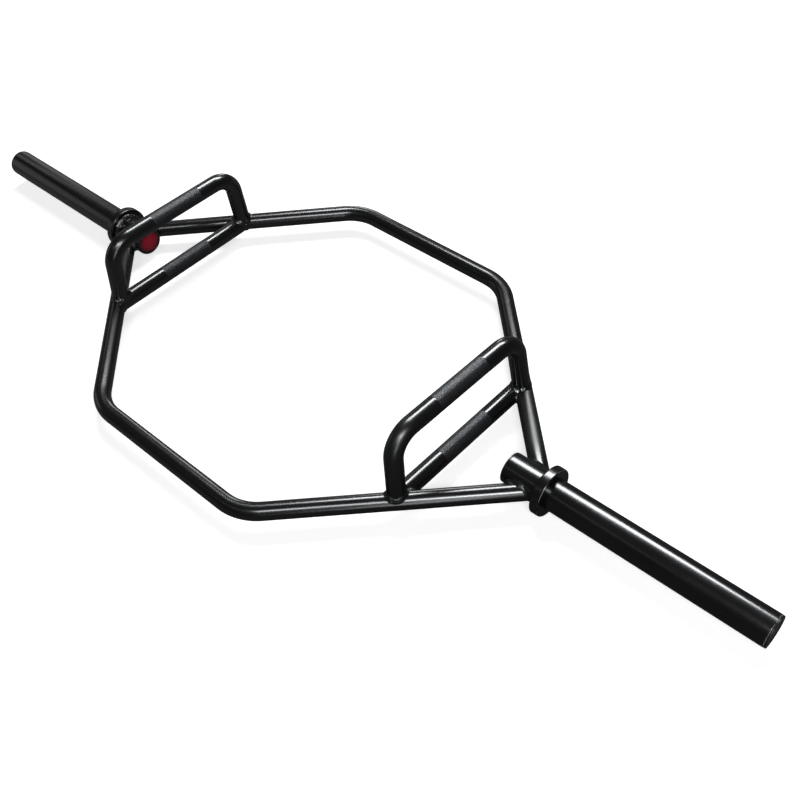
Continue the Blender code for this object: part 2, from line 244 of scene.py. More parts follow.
# Reflections, slightly cool as they are in the photograph
ENAMEL_GLEAM = {"Specular_IOR_Level": 1.0, "Specular_Tint": (0.955, 0.980, 1.0, 1.0)}
KNURL_GLEAM = {"Specular_IOR_Level": 0.72, "Specular_Tint": (0.890, 0.940, 1.0, 1.0)}
BADGE_GLEAM = {"Coat_Weight": 0.5, "Coat_Roughness": 0.08}

# Enamel: its roughness and how far that varies in clouds, what handling marks add to it, and the
# depth of the orange peel
FRAME_ROUGHNESS = 0.225
SLEEVE_ROUGHNESS = 0.21
WELD_ROUGHNESS = 0.25
CLOUD_ROUGHNESS = 0.03
SCUFFS = 0.05
WELD_SCUFFS = 0.04
PEEL = 0.000006
WELD_PEEL = 0.000012

# Where the enamel was sprayed on dry: a centre, how far it reaches and the roughness it adds
FRAME_DRY_SPRAY = [((0.390, 0.095, 0.0345), 0.100, 0.20)]
HANDLE_DRY_SPRAY = [((0.324, -0.136, 0.134), 0.056, 0.11)]


class Nodes:
    """Short ways to add and join shader nodes."""

    def __init__(self, tree):
        self.tree = tree
        tree.nodes.clear()

    def add(self, kind, **inputs):
        """Add a node, with its inputs by name."""
        node = self.tree.nodes.new("ShaderNode" + kind)
        for name, value in inputs.items():
            self.put(node, name.replace("_", " "), value)
        return node

    def put(self, node, key, value):
        """Give an input, by its name or number, a value or a link."""
        socket = node.inputs[key]
        if isinstance(value, bpy.types.NodeSocket):
            self.tree.links.new(value, socket)
        else:
            socket.default_value = value

    def operate(self, kind, operation, values):
        """Add a node that does one operation on its inputs in turn."""
        node = self.add(kind)
        node.operation = operation
        for index, value in enumerate(values):
            self.put(node, index, value)
        return node

    def maths(self, operation, *values, clamp=False):
        """A sum, product or other operation."""
        node = self.operate("Math", operation, values)
        node.use_clamp = clamp
        return node.outputs["Value"]

    def measure(self, operation, *values):
        """A distance or length, from vectors."""
        return self.operate("VectorMath", operation, values).outputs["Value"]

    def ramp(self, value, stops):
        """Map a value to greys or colours, between two stops."""
        node = self.add("ValToRGB", Fac=value)
        for element, (place, colour) in zip(node.color_ramp.elements, stops):
            element.position = place
            element.color = (*colour, 1.0) if isinstance(colour, tuple) else (*[colour] * 3, 1.0)
        return node.outputs["Color"]

    def spread(self, share, low, high):
        """A value from low to high, for a share from 0 to 1."""
        return self.maths("MULTIPLY_ADD", share, high - low, low)

    def noise(self, place, scale, detail=2.0, roughness=0.5):
        """Noise from 0 to 1, with its scale in cells per metre."""
        node = self.add("TexNoise", Vector=place, Scale=scale, Detail=detail, Roughness=roughness)
        return node.outputs["Fac"]

    def near(self, place, centre, reach):
        """1 close to a point, fading softly to 0 at a distance from it."""
        share = self.maths("DIVIDE", self.measure("DISTANCE", place, centre), reach)
        return self.ramp(share, [(0.55, 1.0), (1.0, 0.0)])

    def finish(self, kind, shader):
        """Join a shader to the tree's output."""
        self.tree.links.new(shader.outputs[0], self.add(kind).inputs["Surface"])

    def paint(self, colour, rough, height, depth, strength=1.0, **more):
        """Finish with one shader, and a fine relief of the given depth."""
        bump = self.add("Bump", Strength=strength, Distance=depth, Height=height)
        shader = self.add("BsdfPrincipled", Base_Color=colour, Roughness=rough,
                          Normal=bump.outputs["Normal"], **more)
        self.finish("OutputMaterial", shader)


def surface(name):
    """A new material and its nodes, with the object's own coordinates."""
    made = bpy.data.materials.new(name)
    made.use_nodes = True
    nodes = Nodes(made.node_tree)
    return made, nodes, nodes.add("TexCoord").outputs["Object"]


def enamel(name, roughness, peel=PEEL, scuffs=SCUFFS, dry=()):
    """Sprayed black enamel: orange peel, clouds in the gloss, handling marks and dry places."""
    made, nodes, place = surface(name)
    clouds = nodes.noise(place, 14.0, detail=4.0, roughness=0.6)
    handling = nodes.noise(place, 160.0, detail=3.0, roughness=0.6)
    waves = nodes.noise(place, 220.0)
    grit = nodes.noise(place, 900.0, roughness=0.7)
    dark, light = (tuple(part * share for part in BLACK) for share in BLACK_SHARES)
    base = nodes.ramp(clouds, [(0.3, dark), (0.7, light)])
    rough = nodes.spread(clouds, roughness - CLOUD_ROUGHNESS, roughness + CLOUD_ROUGHNESS)
    marks = nodes.ramp(handling, [(0.55, 0.0), (0.8, 1.0)])
    rough = nodes.maths("MULTIPLY_ADD", marks, scuffs, rough)
    for centre, reach, extra in dry:
        rough = nodes.maths("MULTIPLY_ADD", nodes.near(place, centre, reach), extra, rough)
    height = nodes.maths("MULTIPLY_ADD", grit, 0.05, waves)
    nodes.paint(base, rough, height, depth=peel, **ENAMEL_GLEAM)
    return made


def worn_edge_and_highlight(name, scale, kept, rubbed_and_highlit):
    """Enamel rubbed thin on a corner, so that grey primer shows in patches; the grey is also a
    painted highlight along the edge.
    """
    made, nodes, place = surface(name)
    patches = nodes.noise(place, scale, detail=5.0, roughness=0.7)
    # Wear and painted highlight: grey patches along the rounded edge
    base = nodes.ramp(patches, [(kept, BLACK), (rubbed_and_highlit, PRIMER_GREY_AND_HIGHLIGHT)])
    rough = nodes.spread(patches, 0.20, 0.35)
    nodes.paint(base, rough, patches, depth=0.00002, strength=0.5, **ENAMEL_GLEAM)
    return made


def knurl_finish():
    """Enamel over knurled steel: matte and speckled, with greyer and glossier crests."""
    made, nodes, place = surface("knurl_black")
    clouds = nodes.noise(place, 40.0, detail=4.0, roughness=0.6)
    speckle = nodes.noise(place, 620.0, detail=3.0, roughness=0.6)
    grain = nodes.noise(place, 700.0, roughness=0.7)
    mixed = nodes.maths("MULTIPLY_ADD", clouds, 0.25, nodes.maths("MULTIPLY", speckle, 0.75))
    base = nodes.ramp(mixed, zip((0.40, 0.60), KNURL_COLOURS))
    rough = nodes.spread(nodes.ramp(speckle, [(0.40, 1.0), (0.60, 0.0)]), 0.24, 0.50)
    nodes.paint(base, rough, grain, depth=0.00005, **KNURL_GLEAM)
    return made


def plastic():
    """Moulded black plastic with a fine spark-eroded grain."""
    made, nodes, place = surface("moulded_plastic")
    clouds = nodes.noise(place, 60.0, detail=3.0)
    grain = nodes.noise(place, 1800.0, detail=3.0, roughness=0.6)
    base = nodes.ramp(clouds, zip((0.3, 0.7), PLASTIC_COLOURS))
    rough = nodes.spread(clouds, 0.24, 0.34)
    nodes.paint(base, rough, grain, depth=0.00003, strength=0.5)
    return made


def badge_finish():
    """Red printed disc under a clear dome, with painted shade darkening it towards its rim."""
    made, nodes, place = surface("badge_red")
    clouds = nodes.noise(place, 90.0, detail=3.0)
    fleck = nodes.noise(place, 2600.0)
    split = nodes.add("SeparateXYZ", Vector=place).outputs
    height = nodes.maths("SUBTRACT", split["Z"], AXIS_HEIGHT)
    height_square = nodes.maths("MULTIPLY", height, height)
    square = nodes.maths("MULTIPLY_ADD", split["Y"], split["Y"], height_square)
    reach = nodes.maths("DIVIDE", nodes.maths("SQRT", square), BADGE_RADIUS)
    reach = nodes.maths("MULTIPLY_ADD", clouds, 0.12, reach)
    # Painted shade: the red turns darker towards the rim
    base = nodes.ramp(reach, [(0.55, BADGE_RED), (1.0, BADGE_RIM_SHADE_RED)])
    rough = nodes.spread(clouds, 0.28, 0.38)
    nodes.paint(base, rough, fleck, depth=0.00003, strength=0.3, **BADGE_GLEAM)
    return made


FRAME_ENAMEL = enamel("frame_enamel", FRAME_ROUGHNESS, dry=FRAME_DRY_SPRAY)
HANDLE_ENAMEL = enamel("handle_enamel", FRAME_ROUGHNESS, dry=HANDLE_DRY_SPRAY)
SLEEVE_ENAMEL = enamel("sleeve_enamel", SLEEVE_ROUGHNESS)
WELD_ENAMEL = enamel("weld_enamel", WELD_ROUGHNESS, WELD_PEEL, WELD_SCUFFS)
# Rubbed edges of sleeve and collar, whose grey is also a painted highlight
SLEEVE_WEAR_AND_HIGHLIGHT = worn_edge_and_highlight("sleeve_edge_wear_and_highlight", 240.0, kept=0.36, rubbed_and_highlit=0.62)
COLLAR_WEAR_AND_HIGHLIGHT = worn_edge_and_highlight("collar_edge_wear_and_highlight", 50.0, kept=0.50, rubbed_and_highlit=0.72)
KNURL = knurl_finish()
PLASTIC = plastic()
BADGE = badge_finish()


# Meshes

def outward_faces(mesh):
    """Turn every face of closed shells outwards."""
    edit = bmesh.new()
    edit.from_mesh(mesh)
    bmesh.ops.recalc_face_normals(edit, faces=edit.faces)
    edit.to_mesh(mesh)
    edit.free()


def new_piece(name, shape, finishes, nodes, face_finish=None, flat=None):
    """A piece of points and faces, which rides on the bar and stands for nodes of the model."""
    vertices, faces = shape
    mesh = bpy.data.meshes.new(name)
    mesh.from_pydata(vertices, [], faces)
    for finish in finishes:
        mesh.materials.append(finish)
    mesh.update()
    smooth = [not is_flat for is_flat in flat] if flat else [True] * len(faces)
    mesh.polygons.foreach_set("use_smooth", smooth)
    if face_finish:
        mesh.polygons.foreach_set("material_index", face_finish)
    outward_faces(mesh)
    piece = placed(name, mesh)
    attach(piece, "root")
    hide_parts(*nodes)
    return piece


def rounded_route(corners, bend):
    """Points and directions along straight runs, with each inner corner rounded to a radius."""
    route = [(corners[0], (corners[1] - corners[0]).normalized())]
    for before, corner, after in zip(corners, corners[1:], corners[2:]):
        back = (before - corner).normalized()
        ahead = (after - corner).normalized()
        half = back.angle(ahead) / 2
        centre = corner + (back + ahead).normalized() * bend / math.sin(half)
        start = corner + back * bend / math.tan(half) - centre
        end = corner + ahead * bend / math.tan(half) - centre
        axis = start.cross(end).normalized()
        for step in range(BEND_STEPS + 1):
            turn = Matrix.Rotation(start.angle(end) * step / BEND_STEPS, 3, axis)
            spoke = turn @ start
            route.append((centre + spoke, axis.cross(spoke).normalized()))
    route.append((corners[-1], (corners[-1] - corners[-2]).normalized()))
    return route


def sweep_frames(route):
    """A pair of directions across each point of a route, carried along without twist."""
    direction = route[0][1]
    across = direction.orthogonal().normalized()
    frames = []
    for _, tangent in route:
        across = direction.rotation_difference(tangent) @ across
        across = (across - tangent * across.dot(tangent)).normalized()
        direction = tangent
        frames.append((across, tangent.cross(across)))
    return frames


def ring(point, frame_pair, radius, sides):
    """Points round one place of a route."""
    first, second = frame_pair
    points = []
    for step in range(sides):
        angle = 2 * math.pi * step / sides
        points.append(point + (first * math.cos(angle) + second * math.sin(angle)) * radius)
    return points


def stitch(rows, sides, closed=False):
    """Quads between following rows of points."""
    faces = []
    count = len(rows)
    for row in range(count if closed else count - 1):
        low = row * sides
        high = ((row + 1) % count) * sides
        for step in range(sides):
            after = (step + 1) % sides
            faces.append((low + step, low + after, high + after, high + step))
    return faces


def capped(rows, sides, tip=None):
    """Rows of points as a closed tube with fans on its ends, the last one up to a tip if given."""
    vertices = [point for row in rows for point in row]
    faces = stitch(rows, sides)
    first = len(vertices)
    vertices.append(sum(rows[0], Vector()) / sides)
    vertices.append(sum(rows[-1], Vector()) / sides if tip is None else tip)
    last_row = (len(rows) - 1) * sides
    for step in range(sides):
        after = (step + 1) % sides
        faces.append((after, step, first))
        faces.append((last_row + step, last_row + after, first + 1))
    return vertices, faces


def joined(shapes):
    """The points and faces of several shapes as those of one."""
    vertices, faces = [], []
    for more_vertices, more_faces in shapes:
        base = len(vertices)
        vertices += more_vertices
        faces += [tuple(base + index for index in face) for face in more_faces]
    return vertices, faces


# Where bars lie and meet

def across_rod(place, rod):
    """The way to a point from the nearest place on a rod's centre line."""
    across = place - rod.point
    return across - rod.line * across.dot(rod.line)


def onto_rod(place, rod, sink=0.0):
    """Bring a point straight in or out to a rod's surface, or to a depth beneath it."""
    across = across_rod(place, rod)
    return place - across + across.normalized() * (rod.radius - sink)


def reach_to_rod(start, along, rod):
    """How far along a line a rod's surface lies, but no deeper than its lift above its middle."""
    across = across_rod(start, rod)
    lateral = along - rod.line * along.dot(rod.line)
    a = lateral.length_squared
    b = across.dot(lateral)
    c = across.length_squared - rod.radius ** 2
    return (-b + math.sqrt(max(b * b - a * c, rod.lift ** 2 * a))) / a


def outermost(start, along, rods):
    """How far out along a line the rods' surfaces reach, and the rod that reaches furthest."""
    found = [(reach_to_rod(start, along, rod), rod) for rod in rods
             if rod.leaving is None or (start - rod.point).dot(rod.leaving) > 0]
    return max(found, key=lambda item: item[0])


def coped_row(row, along, foot, rods):
    """Slide a bar's end points along it to the surfaces of the rods that it stands on."""
    places = []
    for point in row:
        start = point - along * (point - foot).dot(along)
        reach, _ = outermost(start, along, rods)
        places.append(start + along * reach)
    return places


def coped_ends(rows, route, feet):
    """Cope both ends of a bar, each to its foot and rods, and add a row just inside each."""
    ahead, back = route[0][1], -route[-1][1]
    first = coped_row(rows[0], ahead, *feet[0])
    last = coped_row(rows[-1], back, *feet[1])
    after_first = [point + ahead * GUARD for point in first]
    before_last = [point + back * GUARD for point in last]
    return [first, after_first] + rows[1:-1] + [before_last, last]


def bar_line_y(x):
    """How far across the hexagon an angled bar's centre line lies, at a distance x along X."""
    return CORNER_Y * (APEX_X - abs(x)) / (APEX_X - CORNER_X)


def angled_run(side, end):
    """Apex on the sleeve's axis, and corner of the hexagon, that an angled run joins."""
    sign = SIDES[side]
    apex = Vector((sign * APEX_X, 0.0, FRAME_HEIGHT))
    return apex, Vector((sign * CORNER_X, ENDS[end] * CORNER_Y, FRAME_HEIGHT))


def low_grip_end(side, end):
    """Where a low handle's centre line meets the angled bar's."""
    x = SIDES[side] * LOW_GRIP_X + ENDS[end] * LOW_GRIP_TURN
    return Vector((x, ENDS[end] * bar_line_y(x), FRAME_HEIGHT))


def high_grip_point(side, end, x, half, height):
    """A point of a raised handle's centre line, with the handle's turn and shift put in."""
    along = SIDES[side] * x + ENDS[end] * HIGH_GRIP_TURN
    across = ENDS[end] * half + HIGH_GRIP_SHIFT[side]
    return Vector((along, across, height))


def high_foot(side, end):
    """Where a raised handle's leg reaches the height of the frame bars' centre lines."""
    return high_grip_point(side, end, HIGH_FOOT_X, HIGH_FOOT_HALF, FRAME_HEIGHT)


def high_shoulder(side, end):
    """The sharp corner that a raised handle's bend rounds off."""
    return high_grip_point(side, end, HIGH_GRIP_X, HIGH_GRIP_HALF, AXIS_HEIGHT + HIGH_GRIP_RISE)


def angled_rod(side, end):
    """An angled run of the frame, from the point where the low handle meets it."""
    apex, corner = angled_run(side, end)
    return Rod(low_grip_end(side, end), (corner - apex).normalized(), BAR_RADIUS)


def low_rod(side, end):
    """A low handle from one of its ends, met only on the side that it leads to."""
    point = low_grip_end(side, end)
    grip = (low_grip_end(side, OTHER_END[end]) - point).normalized()
    line = angled_rod(side, end).line
    return Rod(point, grip, HANDLE_RADIUS, leaving=grip - line * grip.dot(line))


# Frame and handles

def frame_bar(end):
    """One bent half of the hexagon."""
    left, right = (angled_run(side, end) for side in SIDES)
    route = rounded_route([left[0], left[1], right[1], right[0]], FRAME_BEND)
    rows = [ring(point, pair, BAR_RADIUS, BAR_SIDES)
            for (point, _), pair in zip(route, sweep_frames(route))]
    rods = [SLEEVE_ROD._replace(radius=SLEEVE_RADIUS - EMBED)]
    shape = capped(coped_ends(rows, route, [(left[0], rods), (right[0], rods)]), BAR_SIDES)
    new_piece(f"{end}_bar", shape, [FRAME_ENAMEL], [f"{end}_frame_bar"])


def knurl_middle(front, rear):
    """Middle of the knurling on a grip that runs between two points."""
    return (front + rear) / 2 + (rear - front).normalized() * KNURL_SHIFT


def knurl_rows(middle, run, pair, first_row):
    """Rows of the knurled band, with crests and grooves in turn, and the plain rows at its ends.

    The marks say which rows are knurled.
    """
    count = 2 * round(KNURL_HALF / KNURL_PITCH)
    reach = KNURL_HALF + KNURL_PITCH / 2 + GUARD
    rows, marks = [], []

    def plain_row(place, depth=0.0):
        rows.append(ring(place, pair, HANDLE_RADIUS - depth, BAR_SIDES))
        marks.append(False)

    plain_row(middle - run * reach)
    for step in range(count + 1):
        place = middle + run * KNURL_HALF * (2 * step / count - 1)
        if step in (0, count):
            depths = (0.0, KNURL_DEPTH) if step == 0 else (KNURL_DEPTH, 0.0)
            for lead, depth in zip((-1, 1), depths):
                plain_row(place + run * KNURL_PITCH * KNURL_STEP * lead, depth)
            continue
        row = []
        for turn, spot in enumerate(ring(place, pair, 1.0, BAR_SIDES)):
            drop_in = KNURL_DEPTH if (turn + first_row + len(rows)) % 2 else KNURL_CREST
            row.append(place + (spot - place) * (HANDLE_RADIUS - drop_in))
        rows.append(row)
        marks.append(True)
    plain_row(middle + run * reach)
    return rows, marks


def grip_rows(route, middle):
    """Rows of a handle, with knurling let in round the given middle of its grip."""
    rows, marks = [], []
    following = [point for point, _ in route[1:]] + [None]
    for (point, _), after, pair in zip(route, following, sweep_frames(route)):
        rows.append(ring(point, pair, HANDLE_RADIUS, BAR_SIDES))
        marks.append(False)
        if after is None or (after - point).length <= KNURL_HALF:
            continue
        if (point - middle).dot(after - middle) < 0:
            run = (after - point).normalized()
            more_rows, more_marks = knurl_rows(middle, run, pair, len(rows))
            rows += more_rows
            marks += more_marks
    return rows, marks


def knurled_faces(rows, marks):
    """Split each knurled quad along its groove, and say which faces are knurled."""
    vertices, quads = capped(rows, BAR_SIDES)
    body = (len(rows) - 1) * BAR_SIDES
    faces, finish = [], []
    for index, quad in enumerate(quads):
        row, step = divmod(index, BAR_SIDES)
        if index < body and marks[row] and marks[row + 1]:
            a, b, c, d = quad
            even = (row + step) % 2 == 0
            faces += ((a, b, c), (a, c, d)) if even else ((a, b, d), (b, c, d))
            finish += [1, 1]
        else:
            faces.append(quad)
            finish.append(1 if index < body and (marks[row] or marks[row + 1]) else 0)
    return (vertices, faces), finish


def handle_piece(side, kind, route, feet, middle):
    """A handle with its knurled grip, as one closed mesh."""
    rows, marks = grip_rows(route, middle)
    rows = coped_ends(rows, route, feet)
    shape, finish = knurled_faces(rows, [False] + marks + [False])
    flat = [mark == 1 for mark in finish]
    new_piece(f"{side}_{kind}_grip", shape, [HANDLE_ENAMEL, KNURL],
              [f"{side}_{kind}_handle"], finish, flat)


def low_handle(side):
    """Straight handle in the plane of the hexagon."""
    front, rear = (low_grip_end(side, end) for end in ENDS)
    line = (rear - front).normalized()
    feet = []
    for end in ENDS:
        rod = angled_rod(side, end)._replace(radius=BAR_RADIUS - EMBED, lift=LOW_END_LIFT)
        feet.append((rod.point, [rod]))
    handle_piece(side, "low", [(front, line), (rear, line)], feet, knurl_middle(front, rear))


def high_handle(side):
    """Raised handle, a bent bar whose feet stand on the joints of the low handle and the frame."""
    front, rear = (high_shoulder(side, end) for end in ENDS)
    corners = [high_foot(side, "front"), front, rear, high_foot(side, "rear")]
    feet = []
    for end in ENDS:
        rods = [rod._replace(radius=rod.radius - EMBED, lift=HIGH_END_LIFT)
                for rod in (angled_rod(side, end), low_rod(side, end))]
        feet.append((high_foot(side, end), rods))
    route = rounded_route(corners, HANDLE_BEND)
    handle_piece(side, "high", route, feet, knurl_middle(front, rear))


# Turned pieces

def arc(centre_radius, centre_along, size, first, last, steps=EDGE_STEPS):
    """Points of a rounded edge of a turned profile, between two angles in degrees."""
    points = []
    for step in range(steps + 1):
        turn = math.radians(first + (last - first) * step / steps)
        points.append((centre_radius + size * math.cos(turn), centre_along + size * math.sin(turn)))
    return points


def guarded_profile(profile, closed):
    """Add a point near each end of long stretches, which keeps the edges' shading off them."""
    points = []
    for index, here in enumerate(profile):
        points.append(here)
        if index + 1 == len(profile) and not closed:
            break
        after = profile[(index + 1) % len(profile)]
        length = math.dist(here, after)
        if length > 5 * PROFILE_GUARD:
            step = PROFILE_GUARD / length
            for share in (step, 1 - step):
                points.append(tuple(a + (b - a) * share for a, b in zip(here, after)))
    return points


def turned(name, side, profile, closed, finishes, node, worn_and_highlit=(math.inf,) * 3):
    """Turn a profile of radius and distance along X about the sleeve's axis.

    The last argument gives the least and most radius, and the least distance along, of any rubbed
    paint, whose grey is also a painted highlight.
    """
    sign = SIDES[side]
    least, most, beyond = worn_and_highlit
    vertices, faces, finish, rows = [], [], [], []
    for radius, along in guarded_profile(profile, closed):
        spots = LATHE_STEPS if radius else 1
        rows.append(range(len(vertices), len(vertices) + spots))
        for step in range(spots):
            angle = 2 * math.pi * step / LATHE_STEPS
            height = AXIS_HEIGHT + radius * math.sin(angle)
            vertices.append(Vector((sign * along, radius * math.cos(angle), height)))
    pairs = list(zip(rows, rows[1:]))
    if closed:
        pairs.append((rows[-1], rows[0]))
    for low, high in pairs:
        middle = (vertices[low[0]] + vertices[high[0]]) / 2
        rubbed_and_highlit = least < middle.y < most and sign * middle.x > beyond
        for step in range(LATHE_STEPS):
            after = (step + 1) % LATHE_STEPS
            if len(low) == 1:
                face = (low[0], high[after], high[step])
            elif len(high) == 1:
                face = (low[step], low[after], high[0])
            else:
                face = (low[step], low[after], high[after], high[step])
            faces.append(face)
            finish.append(int(rubbed_and_highlit))
    piece = new_piece(f"{side}_{name}", (vertices, faces), finishes,
                      [f"{side}_{node}"], finish)
    piece.data.set_sharp_from_angle(angle=SHARP_ANGLE)


def tube_profile(bore, radius, inner, outer, edge):
    """Profile of a tube with its outer edges rounded."""
    profile = [(bore, outer)]
    profile += arc(radius - edge, outer - edge, edge, 90, 0)
    profile += arc(radius - edge, inner + edge, edge, 0, -90)
    return profile + [(bore, inner)]


def sleeve_tube(side):
    """Plate sleeve and inner stub, one tube through the collar, with rolled-off ends."""
    inner = STUB_X + PLUG_FLANGE + PLUG_GAP
    outer = HALF_LENGTH - PLUG_FLANGE - PLUG_GAP
    bore = SLEEVE_RADIUS - SLEEVE_WALL
    edge = SLEEVE_ROUNDING
    profile = tube_profile(bore, SLEEVE_RADIUS, inner, outer, edge)
    # Rubbed paint, also a painted highlight, round the outer end's rounded edge
    worn_and_highlit = (SLEEVE_RADIUS - edge * SLEEVE_RUBBED_AND_HIGHLIT, math.inf, outer - edge)
    turned("sleeve", side, profile, True, [SLEEVE_ENAMEL, SLEEVE_WEAR_AND_HIGHLIGHT],
           "sleeve_tube", worn_and_highlit)


def collar(side):
    """Stop ring with rounded rims, tight on the sleeve."""
    outer = COLLAR_X + COLLAR_WIDTH
    bore = SLEEVE_RADIUS - COLLAR_OVERLAP
    edge = COLLAR_ROUNDING
    profile = tube_profile(bore, COLLAR_RADIUS, COLLAR_X, outer, edge)
    # Rubbed paint, also a painted highlight, on the collar's outer rounded rim
    least, most = (COLLAR_RADIUS - edge + edge * share for share in COLLAR_RUBBED_AND_HIGHLIT)
    turned("stop_ring", side, profile, True, [SLEEVE_ENAMEL, COLLAR_WEAR_AND_HIGHLIGHT],
           "collar", (least, most, outer - edge))


def outer_plug(side):
    """Plastic plug in the sleeve's outer end, with a shallow moulded dish."""
    seat = HALF_LENGTH - PLUG_FLANGE
    back = seat - PLUG_DEPTH
    face = HALF_LENGTH - DISH_DEPTH
    edge = PLUG_ROUNDING
    profile = [(0.0, face), (DISH_RADIUS, face), (DISH_RIM, HALF_LENGTH)]
    profile += arc(PLUG_RADIUS - edge, HALF_LENGTH - edge, edge, 90, 0)
    profile += [(PLUG_RADIUS, seat), (SPIGOT_RADIUS, seat), (SPIGOT_RADIUS, back), (0.0, back)]
    turned("outer_plug", side, profile, False, [PLASTIC], "sleeve_end_plug")


def inner_plug(side):
    """Plastic plug in the stub's inner end, with a recess for the badge."""
    seat = STUB_X + PLUG_FLANGE
    back = seat + PLUG_DEPTH
    bottom = STUB_X + RECESS_DEPTH
    recess = BADGE_RADIUS + BADGE_GAP
    edge, lip = PLUG_ROUNDING, RECESS_ROUNDING
    profile = [(0.0, back), (SPIGOT_RADIUS, back), (SPIGOT_RADIUS, seat), (PLUG_RADIUS, seat)]
    profile += arc(PLUG_RADIUS - edge, STUB_X + edge, edge, 0, -90)
    profile += arc(recess + lip, STUB_X + lip, lip, -90, -180, RECESS_STEPS)
    profile += [(recess, bottom), (0.0, bottom)]
    turned("inner_plug", side, profile, False, [PLASTIC], "stub_plug")


def badge(side):
    """Bare domed disc with one plain raised ring."""
    back = STUB_X + RECESS_DEPTH
    face = STUB_X + BADGE_SINK
    profile = [(0.0, back), (BADGE_RADIUS, back), (BADGE_RADIUS, STUB_X + BADGE_EDGE_SINK)]
    for step in range(BADGE_STEPS):
        across = 1 - step / BADGE_STEPS
        crown = BADGE_DOME * (1 - across ** 4)
        ridge = BADGE_RING_HEIGHT * max(0.0, 1 - ((across - BADGE_RING) / BADGE_RING_HALF) ** 2)
        profile.append((BADGE_RADIUS * across * BADGE_FACE, face - crown - ridge))
    profile.append((0.0, face - BADGE_DOME))
    turned("disc", side, profile, False, [BADGE], "badge")


# Welds

def eased(points, rounds):
    """Ease the kinks of a closed route by moving each point towards its neighbours."""
    for _ in range(rounds):
        before = points[-1:] + points[:-1]
        after = points[1:] + points[:1]
        points = [here / 2 + (back + ahead) / 4 for back, here, ahead in zip(before, points, after)]
    return points


def joint_route(branch, rods):
    """Closed line where a branch meets the rods it stands on, and the rod met at each point."""
    side = branch.line.orthogonal().normalized()
    places, met = [], []
    for step in range(ROUTE_POINTS):
        spoke = Matrix.Rotation(2 * math.pi * step / ROUTE_POINTS, 3, branch.line) @ side
        start = branch.point + spoke * branch.radius
        reach, rod = outermost(start, branch.line, rods)
        places.append(start + branch.line * reach)
        met.append(rod)
    return places, met


def smooth_loop(points, count):
    """Many points of a smooth closed curve through a few."""
    size = len(points)
    loop = []
    for step in range(count):
        place = step * size / count
        index = int(place)
        share = place - index
        a, b, c, d = (points[(index + offset) % size] for offset in (-1, 0, 1, 2))
        loop.append(
            b + (c - a) * (share / 2)
            + (a * 2 - b * 5 + c * 4 - d) * (share ** 2 / 2)
            + (b * 3 - a - c * 3 + d) * (share ** 3 / 2)
        )
    return loop


def lumpiness(place, seed):
    """Slow and quick unevenness of a hand-laid weld, from about -1 to 1."""
    slow = noise.noise(place * SLOW_LUMPS + Vector((seed, 0.0, 0.0)))
    quick = noise.noise(place * QUICK_LUMPS + Vector((0.0, seed, 0.0)))
    return slow * 1.1 + quick * 0.6


def fillet_rows(corner, upper, lower, outward, crowns, seed):
    """Rings of a weld between two surfaces, from its toes, the way it faces and its crowns."""
    rows = []
    travelled = 0.0
    for index, out in enumerate(outward):
        travelled += (corner[index] - corner[index - 1]).length if index else 0.0
        row = []
        for step in range(FACE_POINTS + 1):
            share = step / FACE_POINTS
            hump = (4 * share * (1 - share)) ** CROWN_POWER
            place = upper[index] + (lower[index] - upper[index]) * share
            phase = travelled / RIPPLE_LENGTH + RIPPLE_CURL * hump
            ripple = RIPPLE_HEIGHT * (abs(math.sin(math.pi * phase)) - RIPPLE_MEAN)
            lump = LUMP_HEIGHT * lumpiness(place, seed)
            row.append(place + out * (hump * (crowns[index] + ripple + lump)))
        row.append(lower[index] - out * WELD_SINK)
        row.append(corner[index] - out * WELD_SINK * 2)
        row.append(upper[index] - out * WELD_SINK)
        rows.append(row)
    return rows


def saddle_weld(branch, rods, bead, seed):
    """Rings of the weld round a branch on rods, and the rod that lies beneath each ring."""
    places, met = joint_route(branch, rods)
    places = eased(places, LINE_EASING)
    toes_up, toes_down, outs, crowns = [], [], [], []
    for index, (place, rod) in enumerate(zip(places, met)):
        tangent = (places[(index + 1) % ROUTE_POINTS] - places[index - 1]).normalized()
        from_branch = across_rod(place, branch).normalized()
        if from_branch.cross(tangent).dot(branch.line) < 0:
            tangent = -tangent
        from_rod = across_rod(place, rod).normalized()
        up = from_branch.cross(tangent).normalized()
        down = tangent.cross(from_rod).normalized()
        up_reach, down_reach = (bead.toe * (1.0 + TOE_WANDER * lumpiness(place, seed + more))
                                for more in TOE_SEEDS)
        toes_up.append(onto_rod(place + up * up_reach, branch, TOE_SINK))
        toes_down.append(onto_rod(place + down * down_reach, rod, TOE_SINK))
        outs.append((from_branch + from_rod).normalized())
        crowns.append(bead.crown + bead.bulge * max(0.0, from_branch.dot(from_rod)))
    toes_up, toes_down = eased(toes_up, UPPER_EASING), eased(toes_down, LOWER_EASING)
    outs, crowns = eased(outs, FACE_EASING), eased(crowns, FACE_EASING)
    corner, upper, lower, outward, crowns = (
        smooth_loop(points, WELD_STEPS) for points in (places, toes_up, toes_down, outs, crowns))
    outward = [out.normalized() for out in outward]
    beneath = [met[step * ROUTE_POINTS // WELD_STEPS] for step in range(WELD_STEPS)]
    return fillet_rows(corner, upper, lower, outward, crowns, seed), beneath


def draw(*picks):
    """A number from 0 to about 1, always the same for the same three numbers that pick it."""
    return abs(noise.noise(Vector(picks)))


def drop(place, out, size):
    """One drop of weld metal, as a low flattened dome."""
    first = out.orthogonal().normalized()
    pair = (first, out.cross(first))
    rows = [ring(place + out * size * height, pair, size * width, DROP_SIDES)
            for height, width in DROP_RINGS]
    return capped(rows, DROP_SIDES, place + out * size * DROP_TIP)


